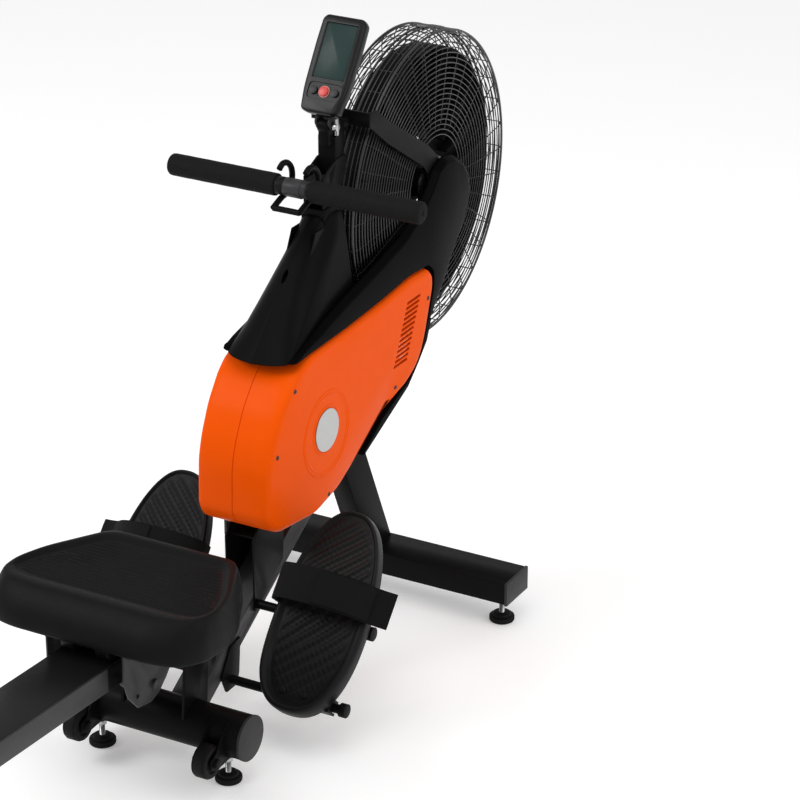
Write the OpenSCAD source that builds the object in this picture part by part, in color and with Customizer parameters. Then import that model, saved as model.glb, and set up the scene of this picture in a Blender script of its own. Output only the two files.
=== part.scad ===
// Air rowing machine: folding rail, sliding seat, fan flywheel under a wire
// guard, two-shell drive housing, pull handle on webbing, tilting console.
// +Y is the way the rower faces (towards the fan), +X is the rower's right.
// The origin is on the floor, in the middle of the machine's footprint.

/* [Rail and seat] */
// Width of the seat rail
rail_w = 100; // [90:1:104]
// Height of the rail section
rail_h = 44; // [40:1:48]
// Height of the rail's top face above the floor, over the origin
rail_z = 288; // [282:1:294]
// Slope of the rail, rising to the rear, in degrees
rail_tilt = 3.2; // [2.8:0.1:3.6]
// Thickness of the seat cushion above its pan
seat_t = 50; // [40:1:60]

/* [Frame] */
// Outer diameter of the round stabilizer under the hinge
mid_d = 76; // [70:1:78]
// Half length of the round stabilizer
mid_half = 163; // [155:1:175]
// Half length of the front stabilizer
front_half = 288; // [270:1:300]
// Distance from the origin to the front stabilizer's middle
front_y = 702; // [696:1:708]
// Slope of the main beam in degrees
beam_a = 30.5; // [29:0.5:32]

/* [Fan] */
// Outer radius of the wire guard
guard_r = 278; // [270:1:280]
// Radius of the fan wheel
fan_r = 244; // [225:1:248]
// Number of blades on the fan wheel
blades = 20; // [12:2:28]
// Number of radial wires in each guard half
spokes = 12; // [8:2:16]

/* [Handle] */
// Half length of the handle
bar_half = 240; // [225:1:250]
// Diameter of the foam grips
grip_d = 38; // [34:1:40]

/* [Pedals] */
// Half width of a foot plate
pedal_w = 84; // [75:1:86]
// Length of a foot plate
pedal_l = 356; // [335:1:360]
// Slope of the foot plates in degrees
pedal_a = 48; // [46:1:50]

/* [Hidden] */
$fn = 64;

hub = [843, 741];         // fan axis (y, z)
drv = [410, 451];         // drive shaft axis (y, z)
gr = [524, 840];          // strap guide roller axis (y, z)
bar = [443, 860];         // handle axis (y, z)
fold = [20, 215];         // rail hinge axis (y, z)
lock = [-8, 225];         // pull pin that locks the rail (y, z)
con = [545, 938];         // console tilt axis (y, z)
axl = [165, 80];          // lower pedal axle (y, z)
axle_gap = 135;           // distance between the two pedal axles
wheel_c = [124, -66, 70]; // transport wheel centre, right side
post_a = 24.33;           // lean of the front post from the vertical

// draws a (y, z) profile as a plate from x0 to x0 + t
module yz(x0, t) { translate([x0, 0, 0]) rotate([90, 0, 90]) linear_extrude(t) children(); }
// cylinder along X, centred on x0..x1 at (y, z)
module xcyl(x0, x1, c, d) { translate([x0, c[0], c[1]]) rotate([0, 90, 0]) cylinder(d = d, h = x1 - x0); }
module both() { children(); mirror([1, 0, 0]) children(); }
// insets a counter-clockwise polygon by d with straight mitred corners
function nrm(a, b) = let (v = b - a, l = norm(v)) [-v[1] / l, v[0] / l];
function inset(P, d) = let (n = len(P)) [for (i = [0:n - 1])
    let (a = P[(i + n - 1) % n], b = P[i], c = P[(i + 1) % n], m = nrm(a, b), k = nrm(b, c))
    b + d * (m + k) / (1 + m * k)];
// rail frame: y runs along the rail, z = 0 is its top face
module on_rail() { translate([0, 0, rail_z]) rotate([-rail_tilt, 0, 0]) children(); }
// pedal frame: y runs up the foot plate from the lower axle, z is its normal
module on_pedal() { translate([0, axl[0], axl[1]]) rotate([pedal_a, 0, 0]) children(); }
// console frame: y runs up the display, z points to the rower
module on_console() { translate([0, 527, 964]) rotate([56, 0, 0]) children(); }

// side outline of the orange housing (y, z), counter-clockwise
HSG = [[225, 356], [240, 332], [264, 319], [379, 306], [460, 316], [538, 352], [611, 393], [700, 427], [728, 441],
    [749, 462], [766, 498], [792, 574], [791, 598], [775, 614], [711, 618], [612, 610], [485, 604], [361, 603],
    [326, 589], [302, 572], [266, 530], [240, 480], [228, 440]];
// side outline of the black cover's wing above the orange shell
ROOF = [[310, 604], [361, 606], [485, 607], [612, 613], [711, 621], [778, 617], [796, 600], [796, 574], [774, 508],
    [790, 515], [815, 537], [847, 571], [864, 596], [888, 624], [909, 645], [928, 673], [940, 703], [936, 740],
    [915, 770], [880, 790], [843, 797], [812, 785], [785, 754], [747, 726], [693, 699], [600, 678], [553, 668],
    [485, 655], [417, 637], [345, 614]];
// hollow inside the wing
ROOF_IN = [[425, 611], [485, 612], [612, 618], [711, 626], [780, 622], [801, 603], [802, 548], [812, 541], [843, 575],
    [860, 600], [884, 627], [905, 648], [924, 675], [936, 703], [932, 739], [912, 767], [879, 786], [843, 793],
    [815, 782], [788, 750], [749, 723], [694, 695], [600, 674], [554, 664], [486, 651], [425, 634]];

module beam_shape(w, h, l) { translate([-w / 2, 0, -h / 2]) cube([w, l, h]); }
module main_beam() color([0.07, 0.07, 0.08])
    difference() {
        translate([0, 30, 47.5]) rotate([beam_a, 0, 0]) difference() {
            beam_shape(50, 42, 560);
            translate([0, -1, 0]) beam_shape(45, 37, 562);
            translate([0, 560, 0]) rotate([0, 0, 0]) translate([-30, -1, -30]) cube([60, 1, 60]);
        }
        xcyl(-40, 40, [0, 90], mid_d);
        translate([0, 571, 367]) cube([60, 1, 1], center = true);
        on_pedal() rotate([0, 90, 0]) translate([0, axle_gap, -40]) cylinder(d = 16.1, h = 80);
        // the post passes in front of the beam's end
        translate([0, front_y, 0]) translate([0, -10 + 2, 95]) rotate([post_a, 0, 0]) translate([-40, -35, 0]) cube([80, 200, 420]);
    }
module mid_stabilizer() color([0.08, 0.08, 0.09])
    difference() {
        xcyl(-mid_half, mid_half, [0, 90], mid_d);
        xcyl(-mid_half - 1, mid_half + 1, [0, 90], mid_d - 5);
        both() translate([123, 0, 40]) cylinder(d = 10, h = 20);
    }
module end_caps() color([0.3, 0.3, 0.31])
    both() {
        translate([mid_half, 0, 90]) rotate([0, 90, 0]) cylinder(d = mid_d + 2, h = 5);
        translate([mid_half - 14, 0, 90]) rotate([0, 90, 0]) cylinder(d = mid_d - 5, h = 14);
        translate([front_half, front_y - 41, 52]) cube([5, 82, 44]);
        translate([front_half - 14, front_y - 37.5, 55.5]) cube([14, 75, 37]);
    }
module front_stabilizer() color([0.06, 0.06, 0.07])
    difference() {
        translate([-front_half, front_y - 40, 53]) cube([2 * front_half, 80, 42]);
        translate([-front_half - 1, front_y - 37.5, 55.5]) cube([2 * front_half + 2, 75, 37]);
        both() translate([263, front_y, 50]) cylinder(d = 10, h = 8);
    }
module front_post() color([0.06, 0.06, 0.07])
    intersection() {
        translate([0, front_y - 8, 95]) rotate([post_a, 0, 0]) translate([0, 0, -40]) difference() {
            translate([-20, -35, 0]) cube([40, 70, 370]);
            translate([-17.5, -32.5, -1]) cube([35, 65, 372]);
        }
        translate([-50, 545.5, 95]) cube([100, 254, 345]);
    }
// two steel side plates that carry the drive shaft and the fan axle
module frame_plates() color([0.1, 0.1, 0.11]) {
    difference() {
        union() {
            both() yz(50, 3) polygon([[385, 430], [430, 425], [500, 400], [545, 372], [585, 385], [640, 445],
                [880, 715], [870, 765], [835, 775], [800, 745], [640, 565], [560, 500], [440, 478], [390, 475]]);
            xcyl(-50, -20, [566, 420], 22);
            xcyl(20, 50, [566, 420], 22);
            xcyl(-50, -22, [524, 430], 22);
            xcyl(22, 50, [524, 430], 22);
        }
        xcyl(-70, 70, hub, 12.1);
        xcyl(-70, 70, drv, 15.1);
    }
}
module mast_channel() color([0.13, 0.13, 0.14])
    difference() {
        translate([-22, 500, 385]) cube([44, 45, 419]);
        translate([-19.5, 502.5, 384]) cube([39, 40, 421]);
        translate([-14, 498, 652]) cube([28, 8, 50]);
        translate([0, 497, 775]) rotate([-90, 0, 0]) cylinder(d = 9, h = 8);
    }
module mast_head() color([0.07, 0.07, 0.08])
    difference() {
        union() {
            both() yz(16.5, 3) polygon([[502.5, 770], [542.4, 770], [542.4, 804.5], [548, 812], [572, 840], [578, 852],
                [578, 880], [548, 880], [520, 868], [503, 858]]);
            difference() {
                translate([-16.5, 548, 848]) cube([33, 30, 92]);
                translate([-14, 550.5, 847]) cube([28, 25, 91]);
                // the rear of the column stops below the console's arms
                translate([-17, 547, 918]) cube([34, 16, 23]);
            }
            translate([-10, 538, 905]) cube([20, 16, 30]);
            xcyl(-10, 10, con, 24);
        }
        xcyl(-30, 30, gr, 8);
        xcyl(-20, 20, con, 6.1);
    }
module housing_half() {
    difference() {
        union() {
            yz(72.5, 2.5) polygon(HSG);
            difference() {
                yz(0, 73) polygon(HSG);
                yz(-1, 75) polygon(inset(HSG, 2.5));
                // room for the guard, the post, the beam and the mast
                translate([-1, 560, 560]) cube([55, 300, 100]);
                translate([-1, 722, 400]) cube([55, 300, 300]);
                translate([-1, 430, 290]) cube([27, 230, 125]);
                translate([-1, 300, 590]) cube([70, 480, 40]);
            }
        }
        yz(71, 5) translate([drv[0], drv[1]]) circle(d = 20);
        for (i = [0:12]) yz(71, 5) translate([644 + i * 4, 471 + i * 8.6]) square([48, 5.6]);
        for (p = SCREWS) xcyl(71, 76, p, 4);
    }
}
SCREWS = [[311, 560], [256, 462], [420, 326], [655, 432], [768, 560]];
module housing_left() color([0.91, 0.35, 0.07]) mirror([1, 0, 0]) housing_half();
module housing_right() color([0.91, 0.35, 0.07]) housing_half();
SPINE = [[304, 604], [498, 606], [498, 792], [490, 789]];
module cover_half() {
    // roof wing beside the fan, outer skin and rim
    yz(68, 3) polygon(ROOF);
    difference() {
        yz(57.5, 11) polygon(ROOF);
        yz(56, 13) polygon(ROOF_IN);
        // the belt passes up into the wing here
        translate([57, 515, 600]) cube([11, 235, 30]);
    }
    // skirt below the orange shell's front edge
    difference() {
        yz(0, 70.5) polygon([[548, 344], [705, 412], [742, 443], [775, 475], [792, 514], [774, 514], [768, 496],
            [751, 460.5], [729, 439], [701, 425], [612, 391], [546, 353]]);
        translate([-1, 738, 400]) cube([55, 300, 300]);
        translate([-1, 530, 330]) cube([22, 80, 90]);
    }
    // valley floor between spine and wing
    translate([27.5, 312, 606]) cube([30.5, 245, 2.5]);
    // shoulders of the spine
    yz(29, 19) polygon([[325, 606], [557, 608], [557, 690], [520, 742], [505, 738], [433, 688], [345, 618]]);
    // spine up to the mast
    difference() {
        yz(0, 30) polygon(SPINE);
        yz(-1, 28.5) polygon([[316, 606.5], [495.5, 608.5], [495.5, 786]]);
        // slots where the webbing passes down to its spool
        translate([-1, 475, 600]) cube([15, 18, 12]);
        translate([-1, 490, 640]) cube([15, 10, 56]);
    }
}
module upper_cover_left() color([0.06, 0.06, 0.07]) mirror([1, 0, 0]) cover_half();
module upper_cover_right() color([0.06, 0.06, 0.07]) cover_half();
module side_discs() color([0.72, 0.73, 0.75])
    both() {
        xcyl(75, 77.5, drv, 76);
        xcyl(72.5, 75, drv, 19.8);
    }
module housing_screws() color([0.3, 0.1, 0.03])
    both() for (p = SCREWS) {
        xcyl(75, 76.4, p, 7.5);
        xcyl(68, 75, p, 3.9);
    }
module fan_axle() color([0.6, 0.6, 0.62])
    {
        xcyl(-66.5, 66.5, hub, 12);
        both() xcyl(47.5, 49.8, hub, 20);
        xcyl(-62, -56.2, hub, 19);
        xcyl(64.5, 66, hub, 16);
    }
// half profile of the guard: [x, r] along the drum, shoulder and dome
function guard_x(s) = s < 34 ? 2 + s : s < 66 ? 36 + 8 * sin((s - 34) / 32 * 90) : 44 + 3 * sin(min(90, (s - 66) / 2));
function guard_rr(s) = s < 34 ? guard_r - 2 : s < 66 ? guard_r - 2 - 14 * (1 - cos((s - 34) / 32 * 90)) - (s - 34) * 0.3
    : guard_r - 25.6 - (s - 66);
module guard_rings() {
    for (s = [1.5, 12, 24, 36, 52, 70, 92, 116, 140, 164, 188, 210])
        translate([guard_x(s), hub[0], hub[1]]) rotate([0, 90, 0]) rotate_extrude($fn = 96)
            translate([guard_rr(s), 0]) circle(d = 3, $fn = 16);
}
module guard_rings_left() color([0.3, 0.3, 0.32]) mirror([1, 0, 0]) guard_rings();
module guard_rings_right() color([0.3, 0.3, 0.32]) guard_rings();
module guard_spokes() {
    translate([0, hub[0], hub[1]]) difference() {
        union() {
            for (i = [0:spokes - 1]) rotate([i * 360 / spokes + 7, 0, 0]) translate([0, 1.5, 0]) rotate([90, 0, 0])
                linear_extrude(3) polygon([[0.2, guard_r - 3.6], [34, guard_r - 3.6], [40, guard_r - 22], [42.6, 40],
                    [42.6, 28], [40.4, 28], [40.4, 40], [36.5, guard_r - 23], [31, guard_r - 6.2], [0.2, guard_r - 6.2]]);
            translate([39.5, 0, 0]) rotate([0, 90, 0]) cylinder(r = 36, h = 4);
        }
        rotate([0, 90, 0]) cylinder(d = 22, h = 80);
    }
}
module guard_spokes_left() color([0.3, 0.3, 0.32]) mirror([1, 0, 0]) guard_spokes();
module guard_spokes_right() color([0.3, 0.3, 0.32]) guard_spokes();
// bent flat bar from the mast to both ends of the fan axle
module fan_yoke() color([0.07, 0.07, 0.08])
    difference() {
        union() {
            both() {
                yz(53, 2.9) polygon([[600, 952], [596, 928], [660, 878], [725, 836], [785, 797], [812, 766], [822, 730],
                    [843, 719], [864, 730], [858, 762], [838, 800], [800, 833], [735, 873], [668, 915], [620, 950]]);
            }
            translate([-55.9, 594, 926]) cube([111.8, 6, 26]);
            translate([-16.5, 578, 926]) cube([33, 18, 14]);
        }
        xcyl(-70, 70, hub, 13);
    }
HOOK = [[436, 891], [447, 897], [462, 894], [474, 882], [477, 866], [471, 850], [458, 842], [440, 839], [414, 830]];
// flat band of width w along a (y, z) path, with mitred bends
function band(P, w) = let (n = len(P), m = [for (i = [0:n - 1])
    let (a = nrm(P[max(0, i - 1)], P[max(1, i)]), b = nrm(P[min(n - 2, i)], P[min(n - 1, i + 1)])) (a + b) / (1 + a * b)])
    concat([for (i = [0:n - 1]) P[i] - m[i] * w / 2], [for (i = [n - 1:-1:0]) P[i] + m[i] * w / 2]);
module handle_holder() color([0.1, 0.1, 0.1])
    union() {
        both() yz(21, 8) polygon(band(HOOK, 8));
        xcyl(-22, 22, [416, 831], 8);
        translate([-22, 474, 842]) cube([44, 5, 10]);
        translate([-13, 476, 842]) cube([26, 24, 8]);
    }
module guide_roller() color([0.2, 0.2, 0.21])
    difference() {
        xcyl(-15, 15, gr, 30);
        xcyl(-16, 16, gr, 8.1);
    }
// pins of the rail hinge, the guide roller and the console
module joint_pins() color([0.6, 0.6, 0.62]) {
    xcyl(-62, 62, fold, 12);
    xcyl(62, 67, fold, 20);
    xcyl(-67, -62, fold, 20);
    xcyl(-21, 21, gr, 8);
    xcyl(-17, 17, con, 6);
    xcyl(17, 24, con, 14);
    translate([20, con[0] - 3, con[1] - 14]) cube([4, 6, 28]);
}
module hinge_lugs() color([0.07, 0.07, 0.08])
    difference() {
        both() {
            yz(56, 5) polygon([[-34, 90], [38, 90], [46, 200], [43, 228], [20, 240], [-20, 236], [-24, 196]]);
            xcyl(61, 72, lock, 16);
        }
        xcyl(-80, 80, [0, 90], mid_d);
        xcyl(-80, 80, fold, 12);
        xcyl(0, 80, lock, 8.1);
        xcyl(-80, 0, lock, 7);
    }
// webbing from the top of the guide roller down to the spool
module strap_run() color([0.05, 0.05, 0.05])
    yz(-12, 24) polygon(band(concat([for (a = [90:-9.4:-13]) gr + 16.2 * [cos(a), sin(a)]], [[445, 442.6]]), 1.6));
module wheel_brackets() color([0.08, 0.08, 0.08])
    difference() {
        both() {
            for (x = [106.5, 138.5]) yz(x, 3) polygon([[-80, 62], [-62, 56], [-22, 58], [-22, 124], [-40, 114], [-64, 86],
                [-80, 80]]);
            xcyl(103, 145, [wheel_c[1], wheel_c[2]], 10);
            xcyl(141.5, 147, [wheel_c[1], wheel_c[2]], 17);
            xcyl(101.5, 106.5, [wheel_c[1], wheel_c[2]], 17);
        }
        xcyl(-170, 170, [0, 90], mid_d);
    }
module wheel_right() color([0.03, 0.03, 0.03])
    difference() {
        union() {
            xcyl(111, 137, [wheel_c[1], wheel_c[2]], 54);
            xcyl(115, 133, [wheel_c[1], wheel_c[2]], 57);
        }
        xcyl(100, 150, [wheel_c[1], wheel_c[2]], 10.1);
        xcyl(110, 114, [wheel_c[1], wheel_c[2]], 36);
        xcyl(134, 138, [wheel_c[1], wheel_c[2]], 36);
    }
module wheel_left() mirror([1, 0, 0]) wheel_right();
// foot plate outline: a blunt oval, fuller towards the heel
function egg(w, l, n) = [for (i = [0:n - 1]) let (a = i * 360 / n, c = cos(a), s = sin(a))
    [w * (1 - 0.12 * s) * sign(c) * pow(abs(c), 0.82), l / 2 * sign(s) * pow(abs(s), 0.9)]];
module pedal() on_pedal() translate([166, pedal_l / 2 - 35, 0]) difference() {
    union() {
        translate([0, 0, 14]) linear_extrude(26) polygon(egg(pedal_w, pedal_l, 48));
        for (y = [35, 35 + axle_gap]) translate([-60, y - pedal_l / 2 - 13, -12]) cube([120, 26, 26]);
    }
    translate([0, 0, 36]) linear_extrude(10) polygon(egg(pedal_w - 7, pedal_l - 14, 48));
    for (y = [35, 35 + axle_gap]) translate([-90, y - pedal_l / 2, 0]) rotate([0, 90, 0]) cylinder(d = 16, h = 180);
}
module pedal_right() color([0.06, 0.06, 0.06]) pedal();
module pedal_left() color([0.06, 0.06, 0.06]) mirror([1, 0, 0]) pedal();
module foot_strap() on_pedal() translate([166, 172, 40]) rotate([90, 0, 0]) translate([0, 0, -31]) linear_extrude(62)
    difference() {
        polygon([[-89, -12], [-90, 14], [-78, 34], [-45, 47], [0, 51], [40, 45], [72, 30], [89, 12], [124, -2],
            [124, -6], [90, 6], [90, -12]]);
        polygon([[-86, -13], [-86, 13], [-75, 31], [-44, 44], [0, 48], [39, 42], [70, 27], [86, 9], [86, -13]]);
    }
module foot_strap_right() color([0.05, 0.05, 0.05]) foot_strap();
module foot_strap_left() color([0.05, 0.05, 0.05]) mirror([1, 0, 0]) foot_strap();
module pedal_axles() color([0.12, 0.12, 0.12]) {
    on_pedal() for (y = [0, axle_gap]) {
        translate([-243, y, 0]) rotate([0, 90, 0]) cylinder(d = 16, h = 486);
        for (m = [-1, 1]) translate([m * 246 - 6, y, 0]) rotate([0, 90, 0]) cylinder(d = 24, h = 12);
    }
    difference() {
        both() yz(25, 4) polygon([[135, 96], [150, 62], [183, 62], [190, 82], [196, 146], [165, 140]]);
        xcyl(-60, 60, axl, 16);
    }
}
// upright between the beam and the underside of the housing
module housing_bracket() color([0.05, 0.05, 0.05])
    difference() {
        union() {
            both() yz(25, 3) polygon([[246, 170], [300, 202], [340, 228], [345, 310], [262, 319.5], [244, 300]]);
            translate([-25, 262, 296]) cube([50, 80, 3]);
        }
        on_pedal() rotate([0, 90, 0]) translate([0, axle_gap, -60]) cylinder(d = 16, h = 120);
        yz(-40, 80) polygon([[225, 330], [264, 318.9], [379, 305.9], [379, 400], [225, 400]]);
    }
module foot(p, top) translate([p[0], p[1], 0]) {
    cylinder(d = 44, h = 10);
    translate([0, 0, 10]) cylinder(d = 30, h = 5);
    translate([0, 0, 14]) cylinder(d = 9.9, h = top - 14);
    translate([0, 0, 38]) cylinder(d = 17, h = 7, $fn = 6);
}
module frame_feet() color([0.1, 0.1, 0.1])
    both() {
        foot([123, 0], 62);
        foot([263, front_y], 62);
    }
module drive_belt() color([0.05, 0.05, 0.05])
    yz(58.5, 5) difference() {
        hull() {
            translate(drv) circle(r = 82.5);
            translate(hub) circle(r = 22.5);
        }
        hull() {
            translate(drv) circle(r = 80.6);
            translate(hub) circle(r = 20.6);
        }
    }
module drive_shaft() color([0.6, 0.6, 0.62])
    xcyl(-56, 68, drv, 15);
module strap_spool() color([0.2, 0.2, 0.21])
    difference() {
        union() {
            xcyl(-14, 14, drv, 70);
            xcyl(-17, -14, drv, 100);
            xcyl(14, 17, drv, 100);
        }
        xcyl(-18, 18, drv, 15);
    }
module recoil_spring() color([0.35, 0.35, 0.38])
    difference() {
        xcyl(-50, -22, drv, 96);
        xcyl(-48, -24, drv, 90);
        xcyl(-51, -21, drv, 17);
    }
module drive_pulley() color([0.15, 0.15, 0.16])
    difference() {
        xcyl(57.5, 64.5, drv, 160);
        xcyl(56, 66, drv, 15.1);
    }
module fan_pulley() color([0.5, 0.5, 0.52])
    difference() {
        xcyl(57.5, 64.5, hub, 40);
        xcyl(56, 66, hub, 12);
    }
// fan flywheel: hub, centre disc with windows, radial blades on both faces
module fan_wheel() color([0.03, 0.03, 0.03])
    translate([0, hub[0], hub[1]]) rotate([0, 90, 0]) difference() {
        union() {
            translate([0, 0, -30]) cylinder(r = 26, h = 60);
            translate([0, 0, -3]) cylinder(r = fan_r - 20, h = 6);
            difference() {
                translate([0, 0, -24]) cylinder(r = fan_r, h = 48);
                translate([0, 0, -25]) cylinder(r = fan_r - 5, h = 50);
            }
            for (i = [0:blades - 1]) rotate([0, 0, i * 360 / blades]) translate([96, -1.5, -22]) cube([fan_r - 98, 3, 44]);
        }
        translate([0, 0, -40]) cylinder(d = 12, h = 80);
        for (i = [0:4]) rotate([0, 0, i * 72 + 20]) translate([62, 0, -40]) cylinder(d = 40, h = 80);
    }
module rail() color([0.32, 0.32, 0.34])
    on_rail() difference() {
        union() {
            translate([-rail_w / 2, -1118, -rail_h]) cube([rail_w, 1158, rail_h - 3]);
            translate([-46, -20, -rail_h - 44]) cube([92, 58, 46]);
        }
        translate([-rail_w / 2 + 3, -1119, -rail_h + 3]) cube([rail_w - 6, 1150, rail_h - 9]);
        translate([-36, -30, -rail_h - 46]) cube([72, 80, 43]);
        // hinge bore, set square to the floor frame
        rotate([rail_tilt, 0, 0]) translate([0, 0, -rail_z]) {
            xcyl(-80, 80, fold, 12.1);
            xcyl(30, 80, lock, 8.3);
        }
        rotate([rail_tilt, 0, 0]) translate([0, 0, -rail_z]) translate([-60, 35, 150]) cube([120, 20, 45]);
    }
module rail_track() color([0.05, 0.05, 0.05])
    on_rail() translate([-rail_w / 2, -1118, -3]) cube([rail_w, 1158, 3]);
module rail_fittings() color([0.05, 0.05, 0.05])
    on_rail() {
        translate([-rail_w / 2 - 1, -1122.3, -rail_h - 1]) cube([rail_w + 2, 4.3, rail_h + 2]);
        translate([-rail_w / 2 - 1, 40, -rail_h - 1]) cube([rail_w + 2, 4, rail_h + 2]);
        for (y = [-1114, 22]) translate([-20, y, 0]) cube([40, 14, 20]);
    }
module rear_stand() color([0.07, 0.07, 0.08]) {
    difference() {
        translate([-25, -1090, 70]) cube([50, 40, 240]);
        translate([-22.5, -1087.5, 69]) cube([45, 35, 242]);
        xcyl(-220, 220, [-1070, 52], 50);
        on_rail() translate([-60, -1200, -rail_h]) cube([120, 300, 200]);
    }
    difference() {
        xcyl(-215, 215, [-1070, 52], 50);
        xcyl(-216, 216, [-1070, 52], 45);
    }
    both() {
        xcyl(215, 221, [-1070, 52], 53);
        translate([185, -1086, 0]) cube([30, 32, 31]);
    }
}
// sprung pull pin that locks the rail down
module lock_pin() color([0.55, 0.05, 0.05]) {
    xcyl(46.6, 82, lock, 8);
    xcyl(81.4, 103, lock, 26);
}
SEAT = [[-126, 52], [-184, -60], [-199, -122], [-197, -182], [-172, -220], [-128, -232], [128, -232], [172, -220],
    [197, -182], [199, -122], [184, -60], [126, 52]];
SEAT_TOP = [[-116, 42], [-168, -72], [-184, -126], [-180, -166], [-152, -190], [-118, -196], [118, -196], [152, -190],
    [180, -166], [184, -126], [168, -72], [116, 42]];
module seat_cushion() color([0.09, 0.09, 0.09])
    on_rail() difference() {
        union() {
            translate([0, 0, 26]) linear_extrude(seat_t - 12) polygon(SEAT);
            translate([0, 0, 26]) linear_extrude(seat_t + 16) polygon(SEAT_TOP);
        }
        translate([-88, -219, 20]) cube([176, 247, 22.3]);
    }
module seat_carriage() color([0.28, 0.28, 0.29])
    on_rail() {
        difference() {
            union() {
                both() yz(69.5, 3) polygon([[-198, 42], [-199, 25], [-216, 25], [-213, -28], [-200, -60], [-172, -88], [-136, -93], [-112, -84],
                    [-92, -66], [-60, -30], [-38, 10], [-20, 42]]);
                translate([-85, -199, 38]) cube([170, 219, 4]);
            }
            translate([0, -174, -66]) xcyl(-90, 90, [0, 0], 9);
            translate([0, -200, 16.3]) xcyl(-90, 90, [0, 0], 10);
            translate([0, -60, 16.3]) xcyl(-90, 90, [0, 0], 10);
            translate([0, -130, -63.3]) xcyl(-90, 90, [0, 0], 10);
        }
        for (p = [[-200, 16.3], [-60, 16.3], [-130, -63.3]]) {
            xcyl(-76, 76, p, 10);
            both() xcyl(72.5, 79, p, 17);
        }
    }
module rollers(p, d) on_rail()
    for (x = [-44, 20]) difference() {
        xcyl(x, x + 24, p, d);
        xcyl(x - 1, x + 25, p, 10.1);
    }
module roller_front() color([0.1, 0.1, 0.1]) rollers([-60, 16.3], 32);
module roller_rear() color([0.1, 0.1, 0.1]) rollers([-200, 16.3], 32);
module roller_lower() color([0.1, 0.1, 0.1]) rollers([-130, -63.3], 38);
module handle_bar() color([0.3, 0.3, 0.31]) {
    xcyl(-bar_half + 3, bar_half - 3, bar, 25);
    difference() {
        union() {
            xcyl(-16, 16, bar, 32);
            translate([-13, bar[0] + 10, bar[1] - 7]) cube([26, 15, 7]);
        }
        xcyl(-17, 17, bar, 25);
    }
}
module grips() color([0.12, 0.12, 0.12])
    both() difference() {
        union() {
            xcyl(33, bar_half - 1, bar, grip_d);
            xcyl(bar_half - 1, bar_half, bar, grip_d - 3);
        }
        xcyl(32, bar_half - 3, bar, 25);
    }
module pull_strap() color([0.05, 0.05, 0.05])
    translate([-12, bar[0] + 25.2, bar[1] - 4.6]) cube([24, gr[0] - bar[0] - 25.6, 1.6]);
module console_case() color([0.05, 0.05, 0.05])
    on_console() difference() {
        union() {
            translate([-41, 8, -16]) cube([82, 160, 24]);
            translate([-34, 0, -16]) cube([68, 10, 20]);
            both() translate([10.5, -14, -38]) cube([4, 34, 24]);
        }
        translate([-27, 62, 6]) cube([54, 88, 4]);
        for (x = [-20, 0, 20]) translate([x, 36, -2]) cylinder(d = x == 0 ? 16.2 : 14.2, h = 14);
        rotate([-56, 0, 0]) translate([0, -527, -964]) xcyl(-30, 30, con, 6.1);
    }
module console_screen() color([0.25, 0.32, 0.28])
    on_console() translate([-27, 62, 6]) cube([54, 88, 1.4]);
module button(x, d) on_console() translate([x, 36, 1.2]) cylinder(d = d, h = 9);
module button_left() color([0.15, 0.15, 0.15]) button(-20, 14);
module button_center() color([0.75, 0.1, 0.08]) button(0, 16);
module button_right() color([0.15, 0.15, 0.15]) button(20, 14);

main_beam();
mid_stabilizer();
front_stabilizer();
end_caps();
front_post();
frame_plates();
mast_channel();
mast_head();
housing_left();
housing_right();
upper_cover_left();
upper_cover_right();
side_discs();
housing_screws();
fan_axle();
guard_rings_left();
guard_rings_right();
guard_spokes_left();
guard_spokes_right();
fan_yoke();
handle_holder();
guide_roller();
joint_pins();
hinge_lugs();
strap_run();
wheel_brackets();
pedal_left();
pedal_right();
foot_strap_left();
foot_strap_right();
pedal_axles();
housing_bracket();
frame_feet();
drive_belt();
drive_shaft();
strap_spool();
recoil_spring();
drive_pulley();
fan_pulley();
fan_wheel();
wheel_left();
wheel_right();
rail();
rail_track();
rail_fittings();
rear_stand();
lock_pin();
seat_cushion();
seat_carriage();
roller_front();
roller_rear();
roller_lower();
handle_bar();
grips();
pull_strap();
console_case();
console_screen();
button_left();
button_center();
button_right();
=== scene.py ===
import bpy
import bmesh
import math
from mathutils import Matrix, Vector


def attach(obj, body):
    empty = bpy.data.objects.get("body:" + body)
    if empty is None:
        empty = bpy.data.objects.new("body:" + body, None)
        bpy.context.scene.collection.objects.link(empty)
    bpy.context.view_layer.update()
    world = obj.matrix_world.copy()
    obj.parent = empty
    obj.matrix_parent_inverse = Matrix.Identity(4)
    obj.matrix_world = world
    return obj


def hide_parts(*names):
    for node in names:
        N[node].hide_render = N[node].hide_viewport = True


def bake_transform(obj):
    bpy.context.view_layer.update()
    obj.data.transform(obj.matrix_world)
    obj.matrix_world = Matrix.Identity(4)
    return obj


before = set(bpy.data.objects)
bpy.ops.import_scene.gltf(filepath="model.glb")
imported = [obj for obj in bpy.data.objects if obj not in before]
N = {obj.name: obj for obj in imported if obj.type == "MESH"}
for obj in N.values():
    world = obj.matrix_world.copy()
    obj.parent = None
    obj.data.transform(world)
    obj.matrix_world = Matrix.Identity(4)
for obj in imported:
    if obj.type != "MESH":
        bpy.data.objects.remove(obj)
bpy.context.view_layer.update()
MM = 0.001


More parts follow.
